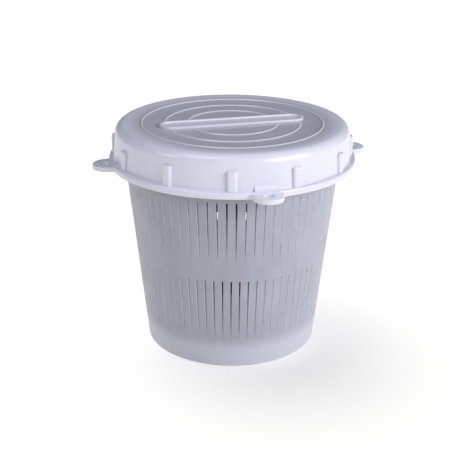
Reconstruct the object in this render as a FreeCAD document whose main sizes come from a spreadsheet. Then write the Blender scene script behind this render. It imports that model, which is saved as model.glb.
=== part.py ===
import FreeCAD, Part
import math
import os
import Sketcher

# A round slotted cheese mould with a push-on lid. Each of the two pieces is one injection moulding.
# Frame: millimetres, +Z up, origin at the centre of the foot on the plane that the mould rests on.
# The four eared lugs of the lid lie on +X, -X, +Y and -Y, and its raised name panel runs along X.

SHEET = "Sizes"

# alias, value in millimetres (angles in degrees), meaning
SIZES = [
    ("cup_height", 136.1, "top of the rim above the resting plane"),
    ("cup_foot_radius", 53.25, "outer radius of the wall at the resting plane"),
    ("cup_mouth_radius", 67.6, "outer radius of the wall, carried up to the top of the rim"),
    ("wall_at_foot", 3.4, "wall thickness, measured level, at the resting plane"),
    ("wall_at_mouth", 2.5, "wall thickness, measured level, at the top of the rim"),
    ("floor_thickness", 3.0, "thickness of the drained floor"),
    ("foot_ring_rise", 1.5, "how far the foot ring holds the floor off the table"),
    ("foot_ring_width", 4.5, "width of the foot ring's resting face before its edge is rounded"),
    ("floor_corner_round", 9.0, "radius between the floor and the wall, inside"),
    ("foot_edge_round", 0.8, "radius of the outer edge of the foot"),
    ("rim_stand_out", 0.95, "how far the rim bead stands out past the mouth radius"),
    ("rim_bead_height", 4.5, "height of the rim bead's straight band, with its rounding"),
    ("rim_round", 2.6, "radius of the outer top edge of the rim bead"),
    ("rim_inner_round", 0.4, "radius of the inner top edge of the rim"),
    ("slot_above_corner", 5.8, "plain wall between the floor's rounded corner and the lower slots"),
    ("slot_band_gap", 13.0, "plain wall between the two bands of slots"),
    ("upper_slot_length", 37.2, "length of an upper slot, down to where it runs out to nothing"),
    ("slot_below_lid", 5.95, "plain wall between the upper slots and the lid's flange"),
    ("slots_per_band", 72, "number of slots round each band"),
    ("slot_root_width", 0.7, "width of a slot at its upright root"),
    ("slot_side_draft", 3.0, "draft of each side of a slot"),
    ("floor_slot_width", 1.6, "width of a drain slot in the floor"),
    ("floor_slot_inner", 15.0, "distance from the axis to the near end of a floor slot"),
    ("floor_slot_outer", 40.0, "distance from the axis to the far end of a floor slot"),
    ("floor_slot_count", 24, "number of radial drain slots in the floor"),
    ("floor_hole_radius", 1.2, "radius of a drain hole in the middle of the floor"),
    ("floor_hole_circle", 8.0, "radius of the circle of drain holes"),
    ("floor_hole_count", 8, "number of drain holes in the circle"),
    ("seat_gap", 0.3, "gap between the rim and the underside of the lid"),
    ("fit_gap", 0.35, "gap all round between the rim bead and the lid's skirt"),
    ("lid_border", 2.65, "thickness of the top plate's border, over the rim"),
    ("lid_middle", 2.1, "thickness of the top plate's dished middle"),
    ("lid_dish", 1.0, "how far the middle of the top plate lies below its border"),
    ("dish_border_width", 2.2, "level border between the slope and the shoulder's rounding"),
    ("lid_dish_slope", 15.0, "width of the slope between the border and the dished middle"),
    ("lid_height", 23.9, "height of the lid from the flange's lower face to the border's upper face"),
    ("skirt_wall", 2.0, "thickness of the skirt, measured level"),
    ("skirt_draft", 3.68, "outward draft of the skirt"),
    ("shoulder_round", 5.5, "radius between the top plate and the skirt, outside"),
    ("shoulder_inner_round", 3.0, "radius between the top plate and the skirt, inside"),
    ("flange_thickness", 3.8, "thickness of the flange round the skirt's lower end"),
    ("flange_stand_out", 3.0, "how far the flange stands out from the skirt"),
    ("flange_edge_round", 1.0, "radius of the flange's upper outer edge"),
    ("rib_count", 12, "number of upright ribs round the skirt"),
    ("rib_half_width", 3.0, "half the width of a rib where it meets the skirt, half way up"),
    ("rib_stand_out", 1.8, "how far a rib stands out from the skirt, half way up"),
    ("rib_height", 11.6, "height of a rib above the flange"),
    ("rib_end_round", 1.2, "radius of a rib's upper end"),
    ("ear_count", 4, "number of ears round the flange"),
    ("ear_thickness", 3.0, "thickness of an ear"),
    ("ear_reach", 10.7, "how far an ear stands out past the flange"),
    ("ear_tip_radius", 9.0, "radius of an ear's rounded tip"),
    ("ear_root_round", 3.0, "radius between an ear's side and the flange, in plan"),
    ("ear_bite", 0.15, "how deep an ear's side ends in the flange"),
    ("ear_web_radius", 5.0, "radius of the hollow web between an ear and the skirt"),
    ("ear_web_half_width", 6.5, "half the width of that web"),
    ("ear_web_bite", 0.15, "how deep the web's hollow ends in the ear and in the skirt"),
    ("eyelet_radius", 2.75, "radius of the hole through an ear"),
    ("eyelet_past_flange", 3.6, "distance from the flange's edge out to the eyelet's centre"),
    ("ring_margin", 10.35, "distance from the outer raised ring's middle to the shoulder's rounding"),
    ("ring_width", 1.5, "width of a raised ring at its foot"),
    ("ring_crest_width", 0.7, "width of a raised ring at its crest"),
    ("ring_height", 0.5, "height of a raised ring"),
    ("panel_length", 90.0, "length of the raised name panel, which is left blank"),
    ("panel_width", 15.0, "width of the raised name panel"),
    ("panel_height", 1.5, "height of the panel's border above the dished middle"),
    ("panel_border", 2.0, "width of the panel's border"),
    ("panel_sink", 0.8, "how far the panel's field lies below its border"),
    ("panel_margin", 2.5, "clear margin between the panel and the ends of the rings"),
]

doc = FreeCAD.newDocument("cheese_mould")

# ---------------------------------------------------------------------------------------------
# Spreadsheet of driving sizes
# ---------------------------------------------------------------------------------------------

sheet = doc.addObject("Spreadsheet::Sheet", SHEET)
for row, (alias, value, meaning) in enumerate(SIZES, start=1):
    sheet.set(f"A{row}", alias)
    sheet.set(f"B{row}", str(value))
    sheet.setAlias(f"B{row}", alias)
    sheet.set(f"C{row}", meaning)
doc.recompute()

VALUE = {alias: value for alias, value, meaning in SIZES}


def size(alias):
    """The expression that reads one driving size from the sheet."""
    if alias not in VALUE:
        raise ValueError(f"no size is called {alias}")
    return f"{SHEET}.{alias}"


# ---------------------------------------------------------------------------------------------
# Sizes that follow from the driving ones, as expressions
# ---------------------------------------------------------------------------------------------

def cup_outer_radius(height):
    """Outer radius of the cup's wall at a height, both as expressions."""
    spread = f"({size('cup_mouth_radius')} - {size('cup_foot_radius')})"
    return f"({size('cup_foot_radius')} + {spread} * ({height}) / {size('cup_height')})"


def cup_inner_radius(height):
    """Inner radius of the cup's wall at a height, both as expressions."""
    thinning = f"({size('wall_at_foot')} - {size('wall_at_mouth')})"
    wall = f"({size('wall_at_foot')} - {thinning} * ({height}) / {size('cup_height')})"
    return f"({cup_outer_radius(height)} - {wall})"


RIM_RADIUS = f"({size('cup_mouth_radius')} + {size('rim_stand_out')})"
RIM_BEAD_FOOT = f"({size('cup_height')} - {size('rim_bead_height')})"
FLOOR_TOP = f"({size('foot_ring_rise')} + {size('floor_thickness')})"
FOOT_RING_INNER = f"({size('cup_foot_radius')} - {size('foot_ring_width')})"

LOWER_SLOT_START = f"({FLOOR_TOP} + {size('floor_corner_round')} + {size('slot_above_corner')})"

LID_UNDERSIDE = f"({size('cup_height')} + {size('seat_gap')})"
LID_TOP = f"({LID_UNDERSIDE} + {size('lid_border')})"
DISH_FLOOR = f"({LID_TOP} - {size('lid_dish')})"
DISH_UNDERSIDE = f"({DISH_FLOOR} - {size('lid_middle')})"
FLANGE_FOOT = f"({LID_TOP} - {size('lid_height')})"
FLANGE_TOP = f"({FLANGE_FOOT} + {size('flange_thickness')})"
EAR_TOP = f"({FLANGE_FOOT} + {size('ear_thickness')})"

UPPER_SLOT_TOP = f"({FLANGE_FOOT} - {size('slot_below_lid')})"
UPPER_SLOT_START = f"({UPPER_SLOT_TOP} - {size('upper_slot_length')})"
LOWER_SLOT_TOP = f"({UPPER_SLOT_START} - {size('slot_band_gap')})"


def skirt_inner_radius(height):
    """Inner radius of the lid's skirt at a height, both as expressions."""
    widening = f"tan({size('skirt_draft')}) * ({LID_UNDERSIDE} - ({height}))"
    return f"({RIM_RADIUS} + {size('fit_gap')} + {widening})"


def skirt_outer_radius(height):
    """Outer radius of the lid's skirt at a height, both as expressions."""
    return f"({skirt_inner_radius(height)} + {size('skirt_wall')})"


FLANGE_RADIUS = f"({skirt_outer_radius(FLANGE_TOP)} + {size('flange_stand_out')})"
SHOULDER_START = f"({skirt_outer_radius(LID_TOP)} - {size('shoulder_round')})"
DISH_RADIUS = f"({SHOULDER_START} - {size('dish_border_width')} - {size('lid_dish_slope')})"
SLOPE_RADIUS = f"({SHOULDER_START} - {size('dish_border_width')})"
RING_OUTER = f"({SHOULDER_START} - {size('ring_margin')})"
RIB_TOP = f"({FLANGE_TOP} + {size('rib_height')})"
RIB_MIDDLE = f"({FLANGE_TOP} + {size('rib_height')} / 2)"
RIB_ROUND = f"(({size('rib_half_width')}^2 + {size('rib_stand_out')}^2) / (2 * {size('rib_stand_out')}))"
EAR_TIP = f"({FLANGE_RADIUS} + {size('ear_reach')})"
EYELET_DISTANCE = f"({FLANGE_RADIUS} + {size('eyelet_past_flange')})"


def number(expression):
    """The value of an expression, for first guesses and for finding edges."""
    result = doc.getObject(SHEET).evalExpression(expression)
    return float(getattr(result, "Value", result))


# ---------------------------------------------------------------------------------------------
# Sketches and features
# ---------------------------------------------------------------------------------------------

START, END, CENTRE = 1, 2, 3


def new_body(label):
    body = doc.addObject("PartDesign::Body", label)
    body.Label = label
    return body


def origin_part(body, role):
    """One of the body's own origin planes or axes, found by its role."""
    for feature in body.Origin.OriginFeatures:
        if feature.Role == role:
            return feature
    raise ValueError(role)


def new_sketch(body, name, role, height="0", turn="0"):
    """A sketch on one of the body's planes, moved along its normal and turned about it."""
    sketch = body.newObject("Sketcher::SketchObject", name)
    sketch.AttachmentSupport = [(origin_part(body, role), "")]
    sketch.MapMode = "FlatFace"
    sketch.setExpression(".AttachmentOffset.Base.z", height)
    sketch.AttachmentOffset = FreeCAD.Placement(
        FreeCAD.Vector(0, 0, 0), FreeCAD.Rotation(FreeCAD.Vector(0, 0, 1), number(turn)))
    sketch.setExpression(".AttachmentOffset.Rotation.Angle", turn)
    return sketch


def hold(sketch, kind, *where):
    """Adds a constraint whose last argument is an expression bound to the sheet."""
    *place, expression = where
    index = sketch.addConstraint(Sketcher.Constraint(kind, *place, number(expression)))
    sketch.setExpression(f"Constraints[{index}]", expression)


def hold_point(sketch, geometry, point, across, up):
    """Fixes a point of the sketch at two coordinates given as expressions."""
    for kind, coordinate in (("DistanceX", across), ("DistanceY", up)):
        if coordinate == "0":
            axis = -2 if kind == "DistanceX" else -1
            sketch.addConstraint(Sketcher.Constraint("PointOnObject", geometry, point, axis))
        else:
            hold(sketch, kind, geometry, point, coordinate)


def closed_outline(sketch, corners):
    """Straight lines through corners given as pairs of expressions."""
    places = [FreeCAD.Vector(number(across), number(up), 0) for across, up in corners]
    lines = []
    for here, there in zip(places, places[1:] + places[:1]):
        lines.append(sketch.addGeometry(Part.LineSegment(here, there), False))
    for line, following in zip(lines, lines[1:] + lines[:1]):
        sketch.addConstraint(Sketcher.Constraint("Coincident", line, END, following, START))
    for line, (across, up) in zip(lines, corners):
        hold_point(sketch, line, START, across, up)


def stadium(sketch, near, far, width):
    """A long hole or panel with round ends, lying along the sketch's own X axis."""
    radius = f"({width}) / 2"
    centres = (f"({near}) + {radius}", f"({far}) - {radius}")
    left, right = (number(centre) for centre in centres)
    half = number(radius)
    corner = FreeCAD.Vector
    quarter = math.pi / 2
    lower = sketch.addGeometry(Part.LineSegment(corner(left, -half, 0), corner(right, -half, 0)), False)
    upper = sketch.addGeometry(Part.LineSegment(corner(right, half, 0), corner(left, half, 0)), False)
    ends = []
    for across, first in ((right, -quarter), (left, quarter)):
        circle = Part.Circle(corner(across, 0, 0), corner(0, 0, 1), half)
        ends.append(sketch.addGeometry(Part.ArcOfCircle(circle, first, first + math.pi), False))
    for line, arc, following in ((lower, ends[0], upper), (upper, ends[1], lower)):
        sketch.addConstraint(Sketcher.Constraint("Tangent", line, END, arc, START))
        sketch.addConstraint(Sketcher.Constraint("Tangent", arc, END, following, START))
    for arc, centre in zip(ends, reversed(centres)):
        hold_point(sketch, arc, CENTRE, centre, "0")
    hold(sketch, "Radius", ends[0], radius)


def round_hole(sketch, distance, radius):
    """A circle on the sketch's X axis."""
    centre = FreeCAD.Vector(number(distance), 0, 0)
    circle = sketch.addGeometry(Part.Circle(centre, FreeCAD.Vector(0, 0, 1), number(radius)), False)
    hold_point(sketch, circle, CENTRE, distance, "0")
    hold(sketch, "Radius", circle, radius)


def revolve(body, sketch, name):
    turned = body.newObject("PartDesign::Revolution", name)
    turned.Profile = sketch
    turned.ReferenceAxis = (sketch, ["V_Axis"])
    turned.Angle = 360
    return finish(body, turned)


def finish(body, feature):
    """Recomputes the feature and makes it the body's tip."""
    sketch = getattr(feature, "Profile", None)
    if sketch:
        sketch[0].Visibility = False
    body.Tip = feature
    doc.recompute()
    return feature


def pad(body, sketch, name, length, both_ways=False):
    raised = body.newObject("PartDesign::Pad", name)
    raised.Profile = sketch
    raised.setExpression("Length", length)
    if both_ways:
        raised.SideType = "Symmetric"
    return finish(body, raised)


def pocket(body, sketch, name, depth):
    """Cuts down from the sketch, and makes sure that something was cut."""
    before = body.Shape.Volume
    cut = body.newObject("PartDesign::Pocket", name)
    cut.Profile = sketch
    cut.setExpression("Length", depth)
    finish(body, cut)
    if not body.Shape.Volume < before:
        raise RuntimeError(f"{name} cuts nothing")
    return cut


def pattern_round(body, features, name, count):
    """Repeats features evenly round the body's Z axis."""
    ring = body.newObject("PartDesign::PolarPattern", name)
    ring.Originals = features
    ring.Axis = (origin_part(body, "Z_Axis"), [""])
    ring.Angle = 360
    ring.setExpression("Occurrences", count)
    return finish(body, ring)


def round_edges(body, name, radius, wanted):
    """Rounds the edges that a test of their shape picks out."""
    base = body.Tip
    names = [f"Edge{index}" for index, edge in enumerate(base.Shape.Edges, start=1) if wanted(edge)]
    if not names:
        raise RuntimeError(f"{name} finds no edge")
    fillet = body.newObject("PartDesign::Fillet", name)
    fillet.Base = (base, names)
    fillet.setExpression("Radius", radius)
    return finish(body, fillet)


NEAR = 1e-4


def is_hoop(radius, height):
    """Picks full circles about the axis at a radius and height given as expressions."""
    wanted_radius = number(radius)
    wanted_height = number(height)

    def test(edge):
        curve = edge.Curve
        return (isinstance(curve, Part.Circle) and abs(curve.Radius - wanted_radius) < NEAR
                and abs(curve.Center.z - wanted_height) < NEAR
                and math.hypot(curve.Center.x, curve.Center.y) < NEAR)
    return test


# ---------------------------------------------------------------------------------------------
# mould_cup: tapered cup, two bands of slots, drained floor on a foot ring, beaded rim
# ---------------------------------------------------------------------------------------------

CUTTER_CLEARANCE = "1"      # how far a slot's cutter stands out past the wall


def cut_slot_band(body, name, start, top, turn):
    """A band of upright slots: their root is parallel to the axis, so they break through the
    tapered wall towards the top and run out to nothing at the bottom."""
    root = cup_outer_radius(start)
    face = f"({cup_outer_radius(top)} + {CUTTER_CLEARANCE})"
    half_root = f"({size('slot_root_width')} / 2)"
    half_face = f"({half_root} + tan({size('slot_side_draft')}) * ({face} - {root}))"
    sketch = new_sketch(body, f"{name}_section", "XY_Plane", top, turn)
    closed_outline(sketch, [(root, f"-{half_root}"), (face, f"-{half_face}"),
                            (face, half_face), (root, half_root)])
    slot = pocket(body, sketch, f"{name}_slot", f"{top} - {start}")
    pattern_round(body, [slot], f"{name}_slots", size("slots_per_band"))


def make_cup():
    body = new_body("mould_cup")
    profile = new_sketch(body, "cup_profile", "XZ_Plane")
    bead_start = f"({RIM_BEAD_FOOT} - {RIM_RADIUS} + {cup_outer_radius(RIM_BEAD_FOOT)})"
    closed_outline(profile, [
        (FOOT_RING_INNER, "0"),
        (size("cup_foot_radius"), "0"),
        (cup_outer_radius(bead_start), bead_start),
        (RIM_RADIUS, RIM_BEAD_FOOT),
        (RIM_RADIUS, size("cup_height")),
        (cup_inner_radius(size("cup_height")), size("cup_height")),
        (cup_inner_radius(FLOOR_TOP), FLOOR_TOP),
        ("0", FLOOR_TOP),
        ("0", size("foot_ring_rise")),
        (FOOT_RING_INNER, size("foot_ring_rise")),
    ])
    revolve(body, profile, "cup_shell")
    round_edges(body, "floor_corner", size("floor_corner_round"),
                is_hoop(cup_inner_radius(FLOOR_TOP), FLOOR_TOP))
    round_edges(body, "foot_edge", size("foot_edge_round"), is_hoop(size("cup_foot_radius"), "0"))
    round_edges(body, "rim_outer_edge", size("rim_round"), is_hoop(RIM_RADIUS, size("cup_height")))
    round_edges(body, "rim_inner_edge", size("rim_inner_round"),
                is_hoop(cup_inner_radius(size("cup_height")), size("cup_height")))

    half_pitch = f"(180 / {size('slots_per_band')})"
    cut_slot_band(body, "lower", LOWER_SLOT_START, LOWER_SLOT_TOP, "0")
    cut_slot_band(body, "upper", UPPER_SLOT_START, UPPER_SLOT_TOP, half_pitch)

    drains = new_sketch(body, "floor_slot_section", "XY_Plane", FLOOR_TOP)
    stadium(drains, size("floor_slot_inner"), size("floor_slot_outer"), size("floor_slot_width"))
    drain = pocket(body, drains, "floor_slot", size("floor_thickness"))
    pattern_round(body, [drain], "floor_slots", size("floor_slot_count"))

    holes = new_sketch(body, "floor_hole_section", "XY_Plane", FLOOR_TOP)
    round_hole(holes, size("floor_hole_circle"), size("floor_hole_radius"))
    hole = pocket(body, holes, "floor_hole", size("floor_thickness"))
    pattern_round(body, [hole], "floor_holes", size("floor_hole_count"))
    return body


# ---------------------------------------------------------------------------------------------
# lid: flat plate with raised rings and a blank panel, skirt, flange, ribs and eyed ears
# ---------------------------------------------------------------------------------------------

def add_ribs(body):
    """Half-round upright ribs on the skirt, half way between the ears and on either side."""
    inset = f"({skirt_outer_radius(RIB_TOP)} - {size('skirt_wall')} / 2)"
    crest = f"({skirt_outer_radius(RIB_MIDDLE)} + {size('rib_stand_out')})"
    centre = f"({crest} - {RIB_ROUND})"
    first_turn = f"(180 / {size('rib_count')})"
    sketch = new_sketch(body, "rib_section", "XY_Plane", FLANGE_FOOT, first_turn)
    reach = math.acos((number(inset) - number(centre)) / number(RIB_ROUND))
    middle = FreeCAD.Vector(number(centre), 0, 0)
    circle = Part.Circle(middle, FreeCAD.Vector(0, 0, 1), number(RIB_ROUND))
    arc = sketch.addGeometry(Part.ArcOfCircle(circle, -reach, reach), False)
    side = number(RIB_ROUND) * math.sin(reach)
    chord = sketch.addGeometry(Part.LineSegment(FreeCAD.Vector(number(inset), side, 0),
                                                FreeCAD.Vector(number(inset), -side, 0)), False)
    sketch.addConstraint(Sketcher.Constraint("Coincident", arc, END, chord, START))
    sketch.addConstraint(Sketcher.Constraint("Coincident", chord, END, arc, START))
    sketch.addConstraint(Sketcher.Constraint("Vertical", chord))
    hold_point(sketch, arc, CENTRE, centre, "0")
    hold(sketch, "Radius", arc, RIB_ROUND)
    hold(sketch, "DistanceX", chord, START, inset)
    rib = pad(body, sketch, "rib", f"{RIB_TOP} - {FLANGE_FOOT}")
    pattern_round(body, [rib], "ribs", size("rib_count"))
    top = number(RIB_TOP)
    round_edges(body, "rib_ends", size("rib_end_round"),
                lambda edge: isinstance(edge.Curve, Part.Circle)
                and abs(edge.Curve.Radius - number(RIB_ROUND)) < NEAR
                and abs(edge.Curve.Center.z - top) < NEAR)


def add_ears(body):
    """Rounded ears level with the flange's lower face, each webbed to the skirt and pierced."""
    tip_centre = f"({EAR_TIP} - {size('ear_tip_radius')})"
    root_distance = f"({FLANGE_RADIUS} + {size('ear_root_round')} - {size('ear_bite')})"
    axis = FreeCAD.Vector(0, 0, 1)
    tip_middle = FreeCAD.Vector(number(tip_centre), 0, 0)
    tip_radius = number(size("ear_tip_radius"))
    root_radius = number(size("ear_root_round"))
    reach = tip_radius + root_radius
    across = (number(root_distance) ** 2 - reach ** 2 + tip_middle.x ** 2) / (2 * tip_middle.x)
    up = math.sqrt(number(root_distance) ** 2 - across ** 2)
    touch = math.atan2(up, across - tip_middle.x)
    sketch = new_sketch(body, "ear_outline", "XY_Plane", FLANGE_FOOT)
    tip = sketch.addGeometry(Part.ArcOfCircle(
        Part.Circle(tip_middle, axis, tip_radius), -touch, touch), False)
    right = sketch.addGeometry(Part.ArcOfCircle(
        Part.Circle(FreeCAD.Vector(across, -up, 0), axis, root_radius),
        math.pi - touch, math.pi), False)
    left = sketch.addGeometry(Part.ArcOfCircle(
        Part.Circle(FreeCAD.Vector(across, up, 0), axis, root_radius),
        math.pi, math.pi + touch), False)
    chord = sketch.addGeometry(Part.LineSegment(
        FreeCAD.Vector(across - root_radius, up, 0),
        FreeCAD.Vector(across - root_radius, -up, 0)), False)
    sketch.addConstraint(Sketcher.Constraint("Tangent", right, START, tip, START))
    sketch.addConstraint(Sketcher.Constraint("Tangent", tip, END, left, END))
    sketch.addConstraint(Sketcher.Constraint("Coincident", left, START, chord, START))
    sketch.addConstraint(Sketcher.Constraint("Coincident", chord, END, right, END))
    hold_point(sketch, tip, CENTRE, tip_centre, "0")
    hold(sketch, "Radius", tip, size("ear_tip_radius"))
    for root in (right, left):
        hold(sketch, "Radius", root, size("ear_root_round"))
        hold(sketch, "Distance", -1, START, root, CENTRE, root_distance)
    sketch.addConstraint(Sketcher.Constraint("Horizontal", right, END, right, CENTRE))
    sketch.addConstraint(Sketcher.Constraint("Horizontal", left, START, left, CENTRE))
    ear = pad(body, sketch, "ear", size("ear_thickness"))
    pattern_round(body, [ear], "ears", size("ear_count"))

    web_radius = size("ear_web_radius")
    web_bite = size("ear_web_bite")
    web_top = f"({EAR_TOP} + {web_radius} - {web_bite})"
    skirt_face = f"({skirt_outer_radius(web_top)} - {web_bite})"
    inset = f"({skirt_face} - {size('skirt_wall')} / 3)"
    web_far = f"({skirt_face} + {web_radius})"
    web_foot = f"({EAR_TOP} - {web_bite})"
    middle = f"({FLANGE_FOOT} + {size('ear_thickness')} / 2)"
    section = new_sketch(body, "ear_web_section", "XZ_Plane")
    hollow = Part.Circle(FreeCAD.Vector(number(web_far), number(web_top), 0),
                         FreeCAD.Vector(0, 0, 1), number(web_radius))
    arc = section.addGeometry(Part.ArcOfCircle(hollow, math.pi, 1.5 * math.pi), False)
    corners = [(web_far, web_foot), (web_far, middle), (inset, middle), (inset, web_top),
               (skirt_face, web_top)]
    places = [FreeCAD.Vector(number(across), number(up), 0) for across, up in corners]
    lines = [section.addGeometry(Part.LineSegment(here, there), False)
             for here, there in zip(places, places[1:])]
    chain = [arc] + lines
    for piece, following in zip(chain, chain[1:] + chain[:1]):
        section.addConstraint(Sketcher.Constraint("Coincident", piece, END, following, START))
    hold_point(section, arc, CENTRE, web_far, web_top)
    for line, (across, up) in list(zip(lines, corners))[1:]:
        hold_point(section, line, START, across, up)
    hold(section, "DistanceX", lines[0], START, web_far)
    section.addConstraint(Sketcher.Constraint("Horizontal", lines[-1]))
    hold(section, "Radius", arc, web_radius)
    web = pad(body, section, "ear_web", f"2 * {size('ear_web_half_width')}", both_ways=True)
    pattern_round(body, [web], "ear_webs", size("ear_count"))

    eye = new_sketch(body, "eyelet_section", "XY_Plane", web_top)
    round_hole(eye, EYELET_DISTANCE, size("eyelet_radius"))
    hole = pocket(body, eye, "eyelet", f"{web_top} - {FLANGE_FOOT}")
    pattern_round(body, [hole], "eyelets", size("ear_count"))


def add_rings_and_panel(body):
    """Three low rings, at a half, three quarters and the whole of the outer ring's radius, broken
    by a clear strip in which the blank panel stands."""
    half_foot = f"({size('ring_width')} / 2)"
    half_crest = f"({size('ring_crest_width')} / 2)"
    sunk = f"({DISH_FLOOR} - {size('lid_middle')} / 2)"
    slope_rise = f"({size('lid_dish')} * ({RING_OUTER} - {DISH_RADIUS}) / {size('lid_dish_slope')})"
    section = new_sketch(body, "ring_sections", "XZ_Plane")
    for steps, rise in ((2, "0"), (3, "0"), (4, slope_rise)):
        middle = f"({RING_OUTER} * {steps} / 4)"
        foot = f"({DISH_FLOOR} + {rise})"
        crest = f"({foot} + {size('ring_height')})"
        closed_outline(section, [
            (f"{middle} - {half_foot}", sunk), (f"{middle} + {half_foot}", sunk),
            (f"{middle} + {half_foot}", foot), (f"{middle} + {half_crest}", crest),
            (f"{middle} - {half_crest}", crest), (f"{middle} - {half_foot}", foot)])
    revolve(body, section, "rings")

    clear_half = f"({size('panel_length')} / 2 + {size('panel_margin')})"
    clear = new_sketch(body, "panel_strip", "XY_Plane", f"{DISH_FLOOR} + {size('ring_height')}")
    stadium(clear, f"-{clear_half}", clear_half, f"{size('panel_width')} + 2 * {size('panel_margin')}")
    pocket(body, clear, "panel_clearance", size("ring_height"))

    half_length = f"({size('panel_length')} / 2)"
    outline = new_sketch(body, "panel_outline", "XY_Plane", sunk)
    stadium(outline, f"-{half_length}", half_length, size("panel_width"))
    panel_top = f"({DISH_FLOOR} + {size('panel_height')})"
    pad(body, outline, "panel", f"{panel_top} - {sunk}")
    field_half = f"({half_length} - {size('panel_border')})"
    field = new_sketch(body, "panel_field_outline", "XY_Plane", panel_top)
    stadium(field, f"-{field_half}", field_half, f"{size('panel_width')} - 2 * {size('panel_border')}")
    pocket(body, field, "panel_field", size("panel_sink"))


def make_lid():
    body = new_body("lid")
    profile = new_sketch(body, "lid_profile", "XZ_Plane")
    closed_outline(profile, [
        ("0", DISH_UNDERSIDE),
        (DISH_RADIUS, DISH_UNDERSIDE),
        (SLOPE_RADIUS, LID_UNDERSIDE),
        (skirt_inner_radius(LID_UNDERSIDE), LID_UNDERSIDE),
        (skirt_inner_radius(FLANGE_FOOT), FLANGE_FOOT),
        (FLANGE_RADIUS, FLANGE_FOOT),
        (FLANGE_RADIUS, FLANGE_TOP),
        (skirt_outer_radius(FLANGE_TOP), FLANGE_TOP),
        (skirt_outer_radius(LID_TOP), LID_TOP),
        (SLOPE_RADIUS, LID_TOP),
        (DISH_RADIUS, DISH_FLOOR),
        ("0", DISH_FLOOR),
    ])
    revolve(body, profile, "lid_shell")
    round_edges(body, "flange_edge", size("flange_edge_round"), is_hoop(FLANGE_RADIUS, FLANGE_TOP))
    round_edges(body, "shoulder", size("shoulder_round"), is_hoop(skirt_outer_radius(LID_TOP), LID_TOP))
    round_edges(body, "shoulder_inside", size("shoulder_inner_round"),
                is_hoop(skirt_inner_radius(LID_UNDERSIDE), LID_UNDERSIDE))
    add_ribs(body)
    add_ears(body)
    add_rings_and_panel(body)
    return body


# ---------------------------------------------------------------------------------------------
# Check and write
# ---------------------------------------------------------------------------------------------

parts = [make_cup(), make_lid()]
doc.recompute()

for item in doc.Objects:
    if "Invalid" in item.State or "Error" in item.State:
        raise RuntimeError(f"{item.Name} is {item.State}")
for item in doc.findObjects("Sketcher::SketchObject"):
    if item.solve() != 0:
        raise RuntimeError(f"{item.Name} does not solve")
for piece in parts:
    if piece.Shape.isNull() or not piece.Shape.isValid() or len(piece.Shape.Solids) != 1:
        raise RuntimeError(f"{piece.Label} is not one valid solid")

os.makedirs("parts", exist_ok=True)
for piece in parts:
    piece.Shape.exportStep(f"parts/{piece.Label}.step")
    box = piece.Shape.BoundBox
    print(f"{piece.Label}: {piece.Shape.Volume / 1000:.1f} cm3, {box.XLength:.1f} x {box.YLength:.1f}"
          f" x {box.ZLength:.1f} mm, z {box.ZMin:.2f} to {box.ZMax:.2f}")
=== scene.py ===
# %% [markdown]
# # A slotted cheese mould with a push-on lid
# Curd is ladled into the cup, the whey runs out through its slots, and the lid keeps flies off.
# The real thing is two injection mouldings, so this lesson models two pieces: the cup and the lid.
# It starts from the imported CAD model, which fixes every size and place. The CAD nodes stay where
# they are, and each finished piece stands exactly where its node does.

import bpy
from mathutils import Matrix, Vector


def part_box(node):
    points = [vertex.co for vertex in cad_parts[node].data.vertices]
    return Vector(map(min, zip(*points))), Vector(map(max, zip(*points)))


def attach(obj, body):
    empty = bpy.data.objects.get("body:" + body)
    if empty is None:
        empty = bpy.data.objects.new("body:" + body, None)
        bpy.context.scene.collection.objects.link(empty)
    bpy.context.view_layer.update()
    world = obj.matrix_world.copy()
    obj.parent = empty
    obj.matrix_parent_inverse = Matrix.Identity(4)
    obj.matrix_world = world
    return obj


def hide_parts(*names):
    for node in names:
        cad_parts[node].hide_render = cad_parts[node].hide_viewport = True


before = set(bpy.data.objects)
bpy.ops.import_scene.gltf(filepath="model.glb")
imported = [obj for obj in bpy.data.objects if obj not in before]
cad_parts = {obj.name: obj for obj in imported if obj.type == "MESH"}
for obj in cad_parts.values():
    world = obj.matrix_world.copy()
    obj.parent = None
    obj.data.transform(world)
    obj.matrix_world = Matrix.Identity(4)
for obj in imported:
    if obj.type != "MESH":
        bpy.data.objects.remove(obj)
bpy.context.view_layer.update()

# %% [markdown]
# Blender measures in metres, and a mould maker thinks in millimetres, so sizes below are written
# in millimetres and turned once. Both pieces are round, so a place is given as a distance from
# the axis and a height above the table. The boxes of the two CAD nodes give the heights that all
# else hangs on.

# %% Sizes that both pieces share
import math

import bmesh
import bpy
from mathutils import Matrix, Vector

MM = 0.001

cup_low, cup_high = (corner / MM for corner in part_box("mould_cup"))
lid_low, lid_high = (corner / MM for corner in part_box("lid"))
RIM_TOP = cup_high.z
RIM_RADIUS = cup_high.x
FLANGE_FOOT = lid_low.z
EAR_TIP = lid_high.x
print(f"rim radius {RIM_RADIUS:.2f}, rim height {RIM_TOP:.2f}, flange at {FLANGE_FOOT:.2f} mm")

# %% [markdown]
# ## Working by hand, in code
# An operator acts on whatever is selected, and the CAD nodes come in selected. So every new piece
# starts by deselecting all. In edit mode, faces, edges or corners are then picked by where they
# are.

# %% Helpers for picking and for edit mode
NEAR = 0.00001


def start_clean():
    """Leaves edit mode and deselects everything."""
    if bpy.context.object and bpy.context.object.mode == "EDIT":
        bpy.ops.object.mode_set(mode="OBJECT")
    bpy.ops.object.select_all(action="DESELECT")


def start_editing(piece):
    """Makes a piece the active one and opens it in edit mode, with all of it selected."""
    start_clean()
    bpy.context.view_layer.objects.active = piece
    piece.select_set(True)
    bpy.ops.object.mode_set(mode="EDIT")
    bpy.ops.mesh.select_all(action="SELECT")


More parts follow.
